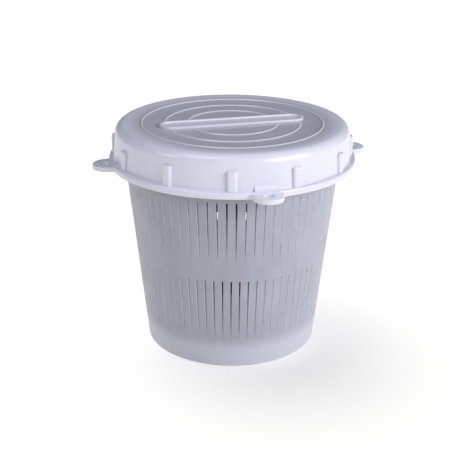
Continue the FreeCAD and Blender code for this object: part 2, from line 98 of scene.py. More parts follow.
def pick(kind, wanted):
    """In edit mode, selects only the corners, edges or faces that a test accepts."""
    bpy.ops.mesh.select_mode(type=kind)
    bpy.ops.mesh.select_all(action="DESELECT")
    mesh = bmesh.from_edit_mesh(bpy.context.object.data)
    parts = {"VERT": mesh.verts, "EDGE": mesh.edges, "FACE": mesh.faces}[kind]
    chosen = [part for part in parts if wanted(part)]
    for part in chosen:
        part.select_set(True)
    mesh.select_flush_mode()
    bmesh.update_edit_mesh(bpy.context.object.data)
    return len(chosen)


def edge_middle(edge):
    return (edge.verts[0].co + edge.verts[1].co) / 2


def from_axis(place):
    """Distance of a place from the mould's axis, in millimetres."""
    return math.hypot(place.x, place.y) / MM


print("helpers ready")

# %% [markdown]
# Both pieces are turned shapes with things cut into them or grown on them. A turned shape is
# quickest as a potter would see it: draw half of its section, then spin it about the axis. The
# section starts as a plane merged to a single corner, and that corner is extruded from point to
# point. A rounded edge of the real moulding is a bevelled corner of the section.

# %% Draw and spin a section
def start_line(name, place):
    """A new piece in edit mode, which is a single corner at a place in millimetres."""
    start_clean()
    bpy.ops.mesh.primitive_plane_add(size=MM)
    piece = bpy.context.object
    piece.name = name
    bpy.ops.object.mode_set(mode="EDIT")
    bpy.ops.mesh.select_mode(type="VERT")
    bpy.ops.mesh.merge(type="CENTER")
    bpy.ops.transform.translate(value=Vector(place) * MM)
    return piece


def draw_section(name, corners):
    """Draws a line through corners, each (distance from the axis, height) in millimetres."""
    places = [Vector((across, 0, height)) * MM for across, height in corners]
    piece = start_line(name, places[0] / MM)
    for here, there in zip(places, places[1:]):
        bpy.ops.mesh.extrude_vertices_move(TRANSFORM_OT_translate={"value": there - here})
    return piece


def round_corner(across, height, radius, steps):
    """Rounds one corner of the section to a radius, by bevelling it that far along its edges."""
    place = Vector((across, 0, height)) * MM
    mesh = bmesh.from_edit_mesh(bpy.context.object.data)
    corner = min(mesh.verts, key=lambda vertex: (vertex.co - place).length)
    ways = [edge.other_vert(corner).co - corner.co for edge in corner.link_edges]
    pick("VERT", lambda vertex: (vertex.co - place).length < NEAR)
    reach = radius * MM / math.tan(ways[0].angle(ways[1]) / 2)
    bpy.ops.mesh.bevel(offset=reach, segments=steps, profile=0.5, affect="VERTICES")


def spin_section(columns):
    """Spins the section into a closed shell, with its seam and poles merged, faces outwards."""
    bpy.ops.mesh.select_all(action="SELECT")
    bpy.ops.mesh.spin(steps=columns, angle=2 * math.pi, center=(0, 0, 0), axis=(0, 0, 1))
    bpy.ops.mesh.select_all(action="SELECT")
    bpy.ops.mesh.remove_doubles(threshold=NEAR / 10)
    bpy.ops.mesh.normals_make_consistent(inside=False)
    bpy.ops.object.mode_set(mode="OBJECT")


print("section tools ready")

# %% [markdown]
# ## The cup
# The cup is a tapered moulding with a drained floor, a foot ring that holds the floor off the
# table, and a bead round its rim. Its wall gets thinner towards the rim, as a moulding does that
# has to come off its core. A cylinder with a taper would do for the outside, but a drawn section
# gives the wall, the 9 mm corner inside and the bead in one go. The spun shell is then turned by
# half a column, so that no column of corners lies where a slot's cutter has its middle.

# %% Draw the cup's section and spin it
FOOT_RADIUS = 53.25
MOUTH_RADIUS = 67.6
WALL_AT_FOOT = 3.4
WALL_AT_MOUTH = 2.5
FLOOR_UNDERSIDE = 1.5
FLOOR_TOP = 4.5
FOOT_RING_INNER = 48.75
FLOOR_CORNER = 9.0
BEAD_FOOT = RIM_TOP - 4.5
CUP_COLUMNS = 288


def cup_outside(height):
    return FOOT_RADIUS + (MOUTH_RADIUS - FOOT_RADIUS) * height / RIM_TOP


def cup_inside(height):
    return cup_outside(height) - WALL_AT_FOOT + (WALL_AT_FOOT - WALL_AT_MOUTH) * height / RIM_TOP


bead_start = BEAD_FOOT - RIM_RADIUS + cup_outside(BEAD_FOOT)
cup = draw_section("mould_cup_moulding", [
    (0, FLOOR_UNDERSIDE),
    (FOOT_RING_INNER, FLOOR_UNDERSIDE),
    (FOOT_RING_INNER, 0),
    (FOOT_RADIUS, 0),
    (cup_outside(bead_start), bead_start),
    (RIM_RADIUS, BEAD_FOOT),
    (RIM_RADIUS, RIM_TOP),
    (cup_inside(RIM_TOP), RIM_TOP),
    (cup_inside(FLOOR_TOP), FLOOR_TOP),
    (0, FLOOR_TOP),
])
round_corner(FOOT_RING_INNER, FLOOR_UNDERSIDE, 0.6, 3)
round_corner(FOOT_RING_INNER, 0, 0.4, 2)
round_corner(FOOT_RADIUS, 0, 0.8, 4)
round_corner(RIM_RADIUS, BEAD_FOOT, 0.8, 3)
round_corner(RIM_RADIUS, RIM_TOP, 2.6, 7)
round_corner(cup_inside(RIM_TOP), RIM_TOP, 0.4, 3)
round_corner(cup_inside(FLOOR_TOP), FLOOR_TOP, FLOOR_CORNER, 12)
spin_section(CUP_COLUMNS)
start_editing(cup)
bpy.ops.transform.rotate(value=math.pi / CUP_COLUMNS, orient_axis="Z", center_override=(0, 0, 0))
bpy.ops.object.mode_set(mode="OBJECT")
print("cup shell:", len(cup.data.polygons), "faces")

# %% [markdown]
# ### Cutters
# The slots and drains repeat many times, so one cutter is shaped, copied round the axis by a spin
# that duplicates, and a Boolean takes them all out at once. The cutter goes when it has cut.

# %% Helpers for copying round and for Booleans
def copy_round(piece, count):
    """Copies all of a piece round the axis, count in all, within the same mesh."""
    start_editing(piece)
    bpy.ops.mesh.spin(steps=count, angle=2 * math.pi, dupli=True, center=(0, 0, 0), axis=(0, 0, 1))
    bpy.ops.mesh.select_all(action="SELECT")
    bpy.ops.mesh.remove_doubles(threshold=NEAR / 10)
    bpy.ops.object.mode_set(mode="OBJECT")


def settle(piece):
    """Puts a piece's place, turn and scale into its mesh, so that its object is at the origin."""
    start_clean()
    bpy.context.view_layer.objects.active = piece
    piece.select_set(True)
    bpy.ops.object.transform_apply(location=True, rotation=True, scale=True)


def combine(piece, other, operation):
    """Cuts the other piece out of a piece, or grows it on, and removes the other one."""
    start_clean()
    bpy.context.view_layer.objects.active = piece
    piece.select_set(True)
    modifier = piece.modifiers.new("combine", "BOOLEAN")
    modifier.operation = operation
    modifier.solver = "EXACT"
    modifier.object = other
    bpy.ops.object.modifier_apply(modifier=modifier.name)
    bpy.data.objects.remove(other)


print("cutting tools ready")

# %% [markdown]
# ### The upright slots
# Steel bars of the mould form the slots, and they pull straight up. So a slot's root is
# upright in a wall that leans: near its top it breaks through, and at its bottom it runs out to
# nothing. The cutter is a block whose outer end is wider, by 3 degrees of draft on each side.

# %% Cut the two bands of slots
SLOTS_PER_BAND = 72
SLOT_ROOT_WIDTH = 0.7
SLOT_DRAFT = math.radians(3.0)
SLOT_RUN_OUT = 1.0
UPPER_SLOT_TOP = FLANGE_FOOT - 5.95
UPPER_SLOT_FOOT = UPPER_SLOT_TOP - 37.2
LOWER_SLOT_TOP = UPPER_SLOT_FOOT - 13.0
LOWER_SLOT_FOOT = FLOOR_TOP + FLOOR_CORNER + 5.8


def cut_slot_band(foot, top, turn):
    """One wedge from the slots' upright root out past the wall, copied round and cut out.
    It reaches a little below the slot's foot, where its root already lies outside the wall."""
    root = cup_outside(foot)
    face = cup_outside(top) + 1.0
    low = foot - SLOT_RUN_OUT
    start_clean()
    bpy.ops.mesh.primitive_cube_add(
        size=MM, location=((root + face) / 2 * MM, 0, (low + top) / 2 * MM),
        scale=(face - root, SLOT_ROOT_WIDTH, top - low))
    cutter = bpy.context.object
    settle(cutter)
    start_editing(cutter)
    pick("FACE", lambda part: part.normal.x > 0.9)
    widening = 1 + 2 * (face - root) * math.tan(SLOT_DRAFT) / SLOT_ROOT_WIDTH
    bpy.ops.transform.resize(value=(1, widening, 1))
    bpy.ops.mesh.select_all(action="SELECT")
    bpy.ops.transform.rotate(value=turn, orient_axis="Z", center_override=(0, 0, 0))
    copy_round(cutter, SLOTS_PER_BAND)
    combine(cup, cutter, "DIFFERENCE")


cut_slot_band(LOWER_SLOT_FOOT, LOWER_SLOT_TOP, 0)
cut_slot_band(UPPER_SLOT_FOOT, UPPER_SLOT_TOP, math.pi / SLOTS_PER_BAND)
print("slotted cup:", len(cup.data.polygons), "faces")

# %% [markdown]
# ### The drained floor
# Whey also leaves through the floor, by 24 slots like the spokes of a wheel and a circle of 8 small
# holes in the middle. A spoke's cutter is a cylinder pulled apart into a round-ended bar. It has no
# corner on the line where it is pulled, so its sides stay straight.

# %% Cut the floor's drains
DRAIN_INNER = 15.0
DRAIN_OUTER = 40.0
DRAIN_WIDTH = 1.6
DRAIN_COUNT = 24
HOLE_CIRCLE = 8.0
HOLE_RADIUS = 1.2
HOLE_COUNT = 8


def round_ended_bar(middle, length, width, low, high, sides=34):
    """A bar with round ends along X, made by pulling a cylinder's two halves apart."""
    start_clean()
    bpy.ops.mesh.primitive_cylinder_add(
        vertices=sides, radius=width / 2 * MM, depth=(high - low) * MM,
        location=(0, 0, (low + high) / 2 * MM), rotation=(0, 0, math.pi / 2))
    bar = bpy.context.object
    settle(bar)
    start_editing(bar)
    for side in (-1, 1):
        pick("VERT", lambda vertex: vertex.co.x * side > 0)
        bpy.ops.transform.translate(value=(side * (length - width) / 2 * MM, 0, 0))
    bpy.ops.mesh.select_all(action="SELECT")
    bpy.ops.transform.translate(value=(middle * MM, 0, 0))
    bpy.ops.object.mode_set(mode="OBJECT")
    return bar


drain = round_ended_bar((DRAIN_INNER + DRAIN_OUTER) / 2, DRAIN_OUTER - DRAIN_INNER, DRAIN_WIDTH,
                        FLOOR_UNDERSIDE - 1, FLOOR_TOP + 1, sides=18)
copy_round(drain, DRAIN_COUNT)
combine(cup, drain, "DIFFERENCE")

start_clean()
bpy.ops.mesh.primitive_cylinder_add(
    vertices=24, radius=HOLE_RADIUS * MM, depth=(FLOOR_TOP + 2) * MM,
    location=(HOLE_CIRCLE * MM, 0, FLOOR_TOP / 2 * MM))
hole = bpy.context.object
settle(hole)
copy_round(hole, HOLE_COUNT)
combine(cup, hole, "DIFFERENCE")
print("drained cup:", len(cup.data.polygons), "faces")

# %% [markdown]
# ## The lid
# The lid is a shallow cap: a top plate that sinks a little in the middle, a rounded shoulder, a
# skirt that widens downwards and a flange round its lower end. Three low raised rings lie on the
# top. The rings are part of the section, because a ring is just a bump of the line that is spun.

# %% Draw the lid's section and spin it
LID_UNDERSIDE = RIM_TOP + 0.3
LID_TOP = LID_UNDERSIDE + 2.65
DISH_FLOOR = LID_TOP - 1.0
DISH_UNDERSIDE = DISH_FLOOR - 2.1
SKIRT_WALL = 2.0
SKIRT_DRAFT = math.radians(3.68)
FLANGE_TOP = FLANGE_FOOT + 3.8
RING_WIDTH = 1.5
RING_HEIGHT = 0.5
RING_CREST_HALF = 0.35
RING_CREST_ROUND = 0.4
SLOPE_ROUND = 30.0
LID_COLUMNS = 360


def skirt_inside(height):
    return RIM_RADIUS + 0.35 + math.tan(SKIRT_DRAFT) * (LID_UNDERSIDE - height)


def skirt_outside(height):
    return skirt_inside(height) + SKIRT_WALL


FLANGE_RADIUS = skirt_outside(FLANGE_TOP) + 3.0
SHOULDER_ROUND = 5.5
SHOULDER_START = skirt_outside(LID_TOP) - SHOULDER_ROUND
SLOPE_RADIUS = SHOULDER_START - 2.2
DISH_RADIUS = SLOPE_RADIUS - 15.0
RING_OUTER = SHOULDER_START - 10.35
RING_MIDDLE = RING_OUTER * 3 / 4
RING_INNER = RING_OUTER / 2


def lid_top(across):
    """Height of the top plate's upper face, which slopes from the border to the dished middle."""
    share = min(max((across - DISH_RADIUS) / (SLOPE_RADIUS - DISH_RADIUS), 0), 1)
    return DISH_FLOOR + (LID_TOP - DISH_FLOOR) * share


def ring_bump(middle):
    """The four corners of one raised ring, from its outer foot to its inner foot."""
    foot, crest_height = RING_WIDTH / 2, lid_top(middle) + RING_HEIGHT
    return [
        (middle + foot, lid_top(middle + foot)),
        (middle + RING_CREST_HALF, crest_height),
        (middle - RING_CREST_HALF, crest_height),
        (middle - foot, lid_top(middle - foot)),
    ]


lid = draw_section("lid_moulding", [
    (0, DISH_UNDERSIDE),
    (DISH_RADIUS, DISH_UNDERSIDE),
    (SLOPE_RADIUS, LID_UNDERSIDE),
    (skirt_inside(LID_UNDERSIDE), LID_UNDERSIDE),
    (skirt_inside(FLANGE_FOOT), FLANGE_FOOT),
    (FLANGE_RADIUS, FLANGE_FOOT),
    (FLANGE_RADIUS, FLANGE_TOP),
    (skirt_outside(FLANGE_TOP), FLANGE_TOP),
    (skirt_outside(LID_TOP), LID_TOP),
    (SLOPE_RADIUS, LID_TOP),
    *ring_bump(RING_OUTER),
    (DISH_RADIUS, DISH_FLOOR),
    *ring_bump(RING_MIDDLE),
    *ring_bump(RING_INNER),
    (0, DISH_FLOOR),
])
round_corner(skirt_inside(LID_UNDERSIDE), LID_UNDERSIDE, 3.0, 6)
round_corner(skirt_inside(FLANGE_FOOT), FLANGE_FOOT, 0.3, 2)
round_corner(FLANGE_RADIUS, FLANGE_FOOT, 0.5, 3)
round_corner(FLANGE_RADIUS, FLANGE_TOP, 1.0, 5)
round_corner(skirt_outside(FLANGE_TOP), FLANGE_TOP, 0.6, 4)
round_corner(skirt_outside(LID_TOP), LID_TOP, SHOULDER_ROUND, 14)
round_corner(SLOPE_RADIUS, LID_TOP, SLOPE_ROUND, 6)
for middle in (RING_OUTER, RING_MIDDLE, RING_INNER):
    for across in (middle + RING_CREST_HALF, middle - RING_CREST_HALF):
        round_corner(across, lid_top(middle) + RING_HEIGHT, RING_CREST_ROUND, 3)
spin_section(LID_COLUMNS)
print("lid shell:", len(lid.data.polygons), "faces")

# %% [markdown]
# ### Broken rings
# A name panel crosses the top, and the two inner rings stop short of it. Rather than cut them, the
# crest of each ring is pressed down to the plate where it would meet the panel. The last step
# between two columns becomes the ring's sloping end, as a moulded ring has.

# %% Press the rings down beside the panel
PANEL_LENGTH = 90.0
PANEL_WIDTH = 15.0
PANEL_MARGIN = 2.5

start_editing(lid)
pressed = pick("VERT", lambda vertex: vertex.co.z > (DISH_FLOOR + 0.02) * MM
               and from_axis(vertex.co) < RING_MIDDLE + RING_WIDTH
               and abs(vertex.co.y) < (PANEL_WIDTH / 2 + PANEL_MARGIN) * MM)
bpy.ops.transform.resize(value=(1, 1, 0), center_override=(0, 0, DISH_FLOOR * MM))
bpy.ops.object.mode_set(mode="OBJECT")
print("ring corners pressed down:", pressed)

# %% [markdown]
# ### The name panel
# The panel is a raised bar with round ends, and a border round a sunk field. It is left blank.
# Its top face is inset by the border's width, and the inset face is pressed in.

# %% Shape the panel and join it to the top
PANEL_HEIGHT = 1.5
PANEL_BORDER = 2.0
PANEL_SINK = 0.8
PANEL_FIELD_SLOPE = 0.25
PANEL_EDGE_ROUND = 0.35

panel = round_ended_bar(0, PANEL_LENGTH, PANEL_WIDTH,
                        DISH_FLOOR - 1, DISH_FLOOR + PANEL_HEIGHT, sides=82)
start_editing(panel)
pick("FACE", lambda part: part.normal.z > 0.9)
bpy.ops.mesh.inset(thickness=PANEL_BORDER * MM)
bpy.ops.mesh.inset(thickness=PANEL_FIELD_SLOPE * MM)
bpy.ops.transform.translate(value=(0, 0, -PANEL_SINK * MM))
pick("EDGE", lambda edge: edge.calc_face_angle(0) > math.radians(40)
     and edge_middle(edge).z > (DISH_FLOOR + PANEL_HEIGHT - PANEL_SINK / 2) * MM)
bpy.ops.mesh.bevel(offset=PANEL_EDGE_ROUND * MM, segments=3)
bpy.ops.object.mode_set(mode="OBJECT")
combine(lid, panel, "UNION")
print("lid with panel:", len(lid.data.polygons), "faces")

# %% [markdown]
# ### Grip ribs
# Twelve upright ribs give wet fingers something to pull on. Each is a flat-fronted bar with soft
# edges and a domed top: a block whose upright front edges are bevelled first, and then the whole
# rim of its top face. Its back lies inside the skirt's wall.

# %% Shape one rib, copy it round and join it
RIB_COUNT = 12
RIB_HEIGHT = 11.6
RIB_HALF_WIDTH = 3.0
RIB_STAND_OUT = 1.8
RIB_EDGE_ROUND = 1.7
RIB_END_ROUND = 1.1
RIB_TOP = FLANGE_TOP + RIB_HEIGHT
rib_foot = FLANGE_TOP - 1.5
rib_crest = skirt_outside(FLANGE_TOP + RIB_HEIGHT / 2) + RIB_STAND_OUT
rib_back = skirt_outside(RIB_TOP) - SKIRT_WALL / 2

start_clean()
bpy.ops.mesh.primitive_cube_add(
    size=MM, location=((rib_crest + rib_back) / 2 * MM, 0, (RIB_TOP + rib_foot) / 2 * MM),
    scale=(rib_crest - rib_back, 2 * RIB_HALF_WIDTH, RIB_TOP - rib_foot))
rib = bpy.context.object
settle(rib)
start_editing(rib)
pick("EDGE", lambda edge: abs(edge.verts[0].co.z - edge.verts[1].co.z) > MM
     and edge_middle(edge).x > (rib_crest - 0.1) * MM)
bpy.ops.mesh.bevel(offset=RIB_EDGE_ROUND * MM, segments=8)
pick("EDGE", lambda edge: min(corner.co.z for corner in edge.verts) > (RIB_TOP - 0.01) * MM
     and edge_middle(edge).x > (rib_back + 0.1) * MM)
bpy.ops.mesh.bevel(offset=RIB_END_ROUND * MM, segments=6)
bpy.ops.mesh.select_all(action="SELECT")
bpy.ops.transform.rotate(value=math.pi / RIB_COUNT, orient_axis="Z", center_override=(0, 0, 0))
bpy.ops.object.mode_set(mode="OBJECT")
copy_round(rib, RIB_COUNT)
combine(lid, rib, "UNION")
print("lid with ribs:", len(lid.data.polygons), "faces")

# %% [markdown]
# ### Ears
# Four ears stand out from the flange, to tie the lid down or to pull it off. An ear's outline is
# three arcs: the round tip, and a hollow on each side where it flows into the flange. Spinning a
# single corner about each arc's centre draws them one after another. The outline's ends go on into
# the flange, and its foot lies a hair above the flange's foot, so that the Boolean finds no two
# faces in one plane.

# %% Draw one ear, give it thickness and round its edges
EAR_COUNT = 4
EAR_TIP_RADIUS = 9.0
EAR_ROOT_RADIUS = 3.0
EAR_THICKNESS = 3.0
EAR_EDGE_ROUND = 0.7
EAR_INTO_FLANGE = 1.4
EAR_LIFT = 0.02
ROOT_SUNK = 0.15
tip_middle = EAR_TIP - EAR_TIP_RADIUS
root_away = FLANGE_RADIUS + EAR_ROOT_RADIUS - ROOT_SUNK
both_radii = EAR_TIP_RADIUS + EAR_ROOT_RADIUS
root_across = (root_away ** 2 - both_radii ** 2 + tip_middle ** 2) / (2 * tip_middle)
root_side = math.sqrt(root_away ** 2 - root_across ** 2)
touch = math.atan2(root_side, root_across - tip_middle)


def draw_arc(centre, angle, steps):
    """Goes on with the line that is being drawn, clockwise round a centre in the ear's plane."""
    bpy.ops.mesh.spin(steps=steps, angle=angle, center=Vector(centre) * MM, axis=(0, 0, 1))


ear_foot = FLANGE_FOOT + EAR_LIFT
into_flange = Vector((EAR_INTO_FLANGE * MM, 0, 0))
ear = start_line("ear", (root_across - EAR_ROOT_RADIUS, -root_side, ear_foot))
bpy.ops.transform.translate(value=-into_flange)
bpy.ops.mesh.extrude_vertices_move(TRANSFORM_OT_translate={"value": into_flange})
draw_arc((root_across, -root_side, ear_foot), touch, 8)
draw_arc((tip_middle, 0, ear_foot), -2 * touch, 40)
draw_arc((root_across, root_side, ear_foot), touch, 8)
bpy.ops.mesh.extrude_vertices_move(TRANSFORM_OT_translate={"value": -into_flange})
bpy.ops.mesh.select_all(action="SELECT")
bpy.ops.mesh.remove_doubles(threshold=NEAR / 10)
bpy.ops.mesh.edge_face_add()
bpy.ops.mesh.extrude_region_move(
    TRANSFORM_OT_translate={"value": (0, 0, (EAR_THICKNESS - EAR_LIFT) * MM)})
bpy.ops.mesh.select_all(action="SELECT")
bpy.ops.mesh.normals_make_consistent(inside=False)
pick("EDGE", lambda edge: edge.calc_face_angle(0) > math.radians(60)
     and abs(edge.verts[0].co.z - edge.verts[1].co.z) < NEAR
     and from_axis(edge_middle(edge)) > FLANGE_RADIUS - 0.05)
bpy.ops.mesh.bevel(offset=EAR_EDGE_ROUND * MM, segments=4)
bpy.ops.object.mode_set(mode="OBJECT")
print("ear:", len(ear.data.polygons), "faces, box",
      [round(side / MM, 2) for side in ear.dimensions])

# %% [markdown]
# A hollow web runs from each ear up to the skirt, so that a pull on the ear doesn't tear it off.
# Its section is a corner of the ear and skirt filled in by a 5 mm arc, drawn in the same way and
# then extruded across the ear.

# %% Add the web, copy the ear round and join it
WEB_RADIUS = 5.0
WEB_HALF_WIDTH = 6.5
web_top = FLANGE_FOOT + EAR_THICKNESS + WEB_RADIUS - ROOT_SUNK
web_skirt = skirt_outside(web_top) - ROOT_SUNK
web_inside = web_skirt - SKIRT_WALL / 3

web = draw_section("web", [
    (web_inside, web_top),
    (web_inside, FLANGE_FOOT + 1.5),
    (web_skirt + WEB_RADIUS, FLANGE_FOOT + 1.5),
    (web_skirt + WEB_RADIUS, web_top - WEB_RADIUS),
])
bpy.ops.mesh.spin(steps=10, angle=-math.pi / 2, axis=(0, 1, 0),
                  center=Vector((web_skirt + WEB_RADIUS, 0, web_top)) * MM)
bpy.ops.mesh.select_all(action="SELECT")
bpy.ops.mesh.remove_doubles(threshold=NEAR / 10)
bpy.ops.mesh.edge_face_add()
bpy.ops.mesh.extrude_region_move(TRANSFORM_OT_translate={"value": (0, 2 * WEB_HALF_WIDTH * MM, 0)})
bpy.ops.mesh.select_all(action="SELECT")
bpy.ops.transform.translate(value=(0, -WEB_HALF_WIDTH * MM, 0))
bpy.ops.mesh.normals_make_consistent(inside=False)
bpy.ops.object.mode_set(mode="OBJECT")
print("web box", [round(side / MM, 2) for side in web.dimensions])
copy_round(web, EAR_COUNT)
copy_round(ear, EAR_COUNT)
for growth in (ear, web):
    combine(lid, growth, "UNION")
    print("lid with ears and webs:", len(lid.data.polygons), "faces")

# %% [markdown]
# Each ear has an eyelet for a cord. Its cutter is a pin with a wider head above and below, so that
# the eyelet's edges come out softly flared, not sharp.

# %% Cut the eyelets
EYELET_RADIUS = 2.75
EYELET_AWAY = FLANGE_RADIUS + 3.6
EYELET_FLARE = 0.5

pin = draw_section("pin", [
    (0, FLANGE_FOOT - 3),
    (EYELET_RADIUS + EYELET_FLARE, FLANGE_FOOT - 3),
    (EYELET_RADIUS + EYELET_FLARE, FLANGE_FOOT),
    (EYELET_RADIUS, FLANGE_FOOT + EYELET_FLARE),
    (EYELET_RADIUS, FLANGE_FOOT + EAR_THICKNESS - EYELET_FLARE),
    (EYELET_RADIUS + EYELET_FLARE, FLANGE_FOOT + EAR_THICKNESS),
    (EYELET_RADIUS + EYELET_FLARE, web_top + 1),
    (0, web_top + 1),
])
spin_section(40)
start_editing(pin)
bpy.ops.transform.translate(value=(EYELET_AWAY * MM, 0, 0))
copy_round(pin, EAR_COUNT)
combine(lid, pin, "DIFFERENCE")
print("finished lid:", len(lid.data.polygons), "faces")

# %% [markdown]
# ### Smooth shading
# Faces that meet at less than 30 degrees share a soft shade, and sharper edges stay crisp.
# The meshes are then measured: each has to be one closed shell.

# %% Shade both pieces and measure them
SMOOTH_BELOW = math.radians(30)

for piece in (cup, lid):
    start_clean()
    bpy.context.view_layer.objects.active = piece
    piece.select_set(True)
    bpy.ops.object.shade_smooth_by_angle(angle=SMOOTH_BELOW)
    measured = bmesh.new()
    measured.from_mesh(piece.data)
    open_edges = sum(not edge.is_manifold for edge in measured.edges)
    volume = measured.calc_volume() / MM ** 3 / 1000
    triangles = sum(len(part.verts) - 2 for part in measured.faces)
    print(f"{piece.name}: {volume:.1f} cm3, {open_edges} open edges, {triangles} triangles")
    measured.free()

# %% [markdown]
# ## Finishes
# Colours are written as on screen and turned to linear light in one place. Patterns are placed by
# Object coordinates, in metres, so a pattern's scale is one over its real size.

# %% Helpers for materials
def linear(code):
    """A colour written as a hex code, as linear red, green, blue and alpha."""
    shares = [int(code[place:place + 2], 16) / 255 for place in (0, 2, 4)]
    return [share / 12.92 if share <= 0.04045 else ((share + 0.055) / 1.055) ** 2.4
            for share in shares] + [1.0]


def add_node(tree, kind, settings=None, **links):
    """Adds a node, sets its properties, and sets or links its inputs by name."""
    node = tree.nodes.new(kind)
    for name, value in (settings or {}).items():
        setattr(node, name, value)
    for name, value in links.items():
        socket = next(s for s in node.inputs if s.enabled and s.name.replace(" ", "_") == name)
        if isinstance(value, bpy.types.NodeSocket):
            tree.links.new(value, socket)
        else:
            socket.default_value = value
    return node


def new_finish(name):
    """An empty material with its object coordinates ready."""
    finish = bpy.data.materials.new(name)
    finish.use_nodes = True
    finish.node_tree.nodes.clear()
    place = add_node(finish.node_tree, "ShaderNodeTexCoord").outputs["Object"]
    return finish, finish.node_tree, place


def blend_colours(tree, share, first, second):
    """Mixes from a first colour to a second by a share from 0 to 1."""
    mix = add_node(tree, "ShaderNodeMix", {"data_type": "RGBA"}, Factor=share, A=first, B=second)
    return mix.outputs[2]


def patch_pattern(tree, place, size, detail=3.0, stretch=(1, 1, 1)):
    """Cloudy noise with patches of about a size in millimetres."""
    spread = add_node(tree, "ShaderNodeMapping", Vector=place, Scale=stretch)
    return add_node(tree, "ShaderNodeTexNoise", Vector=spread.outputs[0], Scale=1 / (size * MM),
                    Detail=detail).outputs[0]


def between(tree, value, low, high, to_low=0.0, to_high=1.0):
    """Stretches the part of a value from low to high to a new range, softly and clamped."""
    node = add_node(tree, "ShaderNodeMapRange", {"interpolation_type": "SMOOTHSTEP"}, Value=value)
    for name, number in (("From Min", low), ("From Max", high),
                         ("To Min", to_low), ("To Max", to_high)):
        node.inputs[name].default_value = number
    return node.outputs[0]


def mottled(tree, place, size, first, second):
    """A colour that drifts between two, in clouds of about a size in millimetres."""
    clouds = patch_pattern(tree, place, size, detail=2.0)
    return blend_colours(tree, between(tree, clouds, 0.3, 0.7), linear(first), linear(second))


def specked(tree, place, colour, spacing, outer, inner):
    """Puts a few dark specks on a colour, at most one for each cell of a Voronoi pattern. The
    spacing is in millimetres, and a speck fades from its inner to its outer share of a cell."""
    cells = add_node(tree, "ShaderNodeTexVoronoi", Vector=place, Scale=1 / (spacing * MM))
    speck = between(tree, cells.outputs["Distance"], outer, inner)
    return blend_colours(tree, speck, colour, linear(SPECK_COLOUR))


def round_the_axis(tree, place):
    """The place's X, Y and Z, its level part, and its distance from the mould's axis."""
    parts = add_node(tree, "ShaderNodeSeparateXYZ", Vector=place)
    level = add_node(tree, "ShaderNodeCombineXYZ",
                     X=parts.outputs["X"], Y=parts.outputs["Y"]).outputs[0]
    length = add_node(tree, "ShaderNodeVectorMath", {"operation": "LENGTH"}, Vector=level)
    return parts, level, length.outputs["Value"]


SPECK_COLOUR = "5a5650"
print("material helpers ready")

# %% [markdown]
# ### Natural polypropylene, injection moulded: the cup
# Without pigment, polypropylene is milky: light goes a little way in and comes out again beside its
# way in. That light is painted into the colour: the slots' flanks are painted lighter than the
# wall's face, and so is the foot, where the plastic is thicker, standing in for light from the
# bright table that comes through it. The inside sees little light and is painted greyer, as painted
# shade.
# The steel was spark eroded, which leaves a fine matt grain. Real grain is about 0.1 mm, too fine
# for a picture of the whole mould, so it is drawn at 0.35 mm. Plastic flows upwards as it fills the
# mould, and leaves faint upright streaks about 6 mm wide.

# %% Make the cup's finish
# Depths where the inside's painted shade fades in, and heights where the foot's painted light fades
# in towards the table, in metres.
INSIDE_DEPTH = (2.0 * MM, 2.4 * MM)
FOOT_LIGHT_FADE = (21 * MM, 10 * MM)

cup_plastic, tree, place = new_finish("natural_polypropylene_moulded")
parts, level, away = round_the_axis(tree, place)
wall_face = add_node(tree, "ShaderNodeMath", {"operation": "MULTIPLY_ADD"},
                     Value=parts.outputs["Z"])
wall_face.inputs[1].default_value = (MOUTH_RADIUS - FOOT_RADIUS) / RIM_TOP
wall_face.inputs[2].default_value = FOOT_RADIUS * MM
depth = add_node(tree, "ShaderNodeMath", {"operation": "SUBTRACT"}, Value=wall_face.outputs[0])
tree.links.new(away, depth.inputs[1])

outwards = add_node(tree, "ShaderNodeVectorMath", {"operation": "NORMALIZE"}, Vector=level)
facing = add_node(tree, "ShaderNodeNewGeometry").outputs["Normal"]
across = add_node(tree, "ShaderNodeVectorMath", {"operation": "CROSS_PRODUCT"},
                  Vector=outwards.outputs[0])
tree.links.new(facing, across.inputs[1])
turned = add_node(tree, "ShaderNodeSeparateXYZ", Vector=across.outputs[0]).outputs["Z"]
sideways = add_node(tree, "ShaderNodeMath", {"operation": "ABSOLUTE"}, Value=turned).outputs[0]

# Painted light and shade: the slots' flanks and the foot are painted lighter, standing in for light
# that leaks out of the milky plastic and light from the bright table that comes through it. The
# inside is painted greyer, as painted shade.
flank_painted_light = between(tree, sideways, 0.5, 0.9)
inside = between(tree, depth.outputs[0], *INSIDE_DEPTH)
foot = between(tree, parts.outputs["Z"], *FOOT_LIGHT_FADE)
flow = between(tree, patch_pattern(tree, place, 6, stretch=(1, 1, 0.12)), 0.4, 0.75, 0.0, 0.3)
cup_colour = mottled(tree, place, 28, "9d9ea8", "a4a5af")
for share, code in ((flow, "b0b1bc"), (foot, "bebdc8"), (inside, "a0a0a8"), (flank_painted_light, "e8e8f0")):
    cup_colour = blend_colours(tree, share, cup_colour, linear(code))
cup_colour = specked(tree, place, cup_colour, 13, 0.030, 0.018)

grain = patch_pattern(tree, place, 0.35, detail=2.0)
grain_bump = add_node(tree, "ShaderNodeBump", Height=grain, Strength=0.06, Distance=0.00004)
haze = between(tree, patch_pattern(tree, place, 9), 0.3, 0.7, 0.40, 0.52)
shader = add_node(
    tree, "ShaderNodeBsdfPrincipled", {"subsurface_method": "RANDOM_WALK"},
    Base_Color=cup_colour, Roughness=haze, IOR=1.49, Specular_IOR_Level=0.3,
    Subsurface_Weight=0.3, Subsurface_Radius=(1.0, 0.98, 1.0), Subsurface_Scale=0.0006,
    Normal=grain_bump.outputs[0])
add_node(tree, "ShaderNodeOutputMaterial", Surface=shader.outputs[0])
print("made", cup_plastic.name)
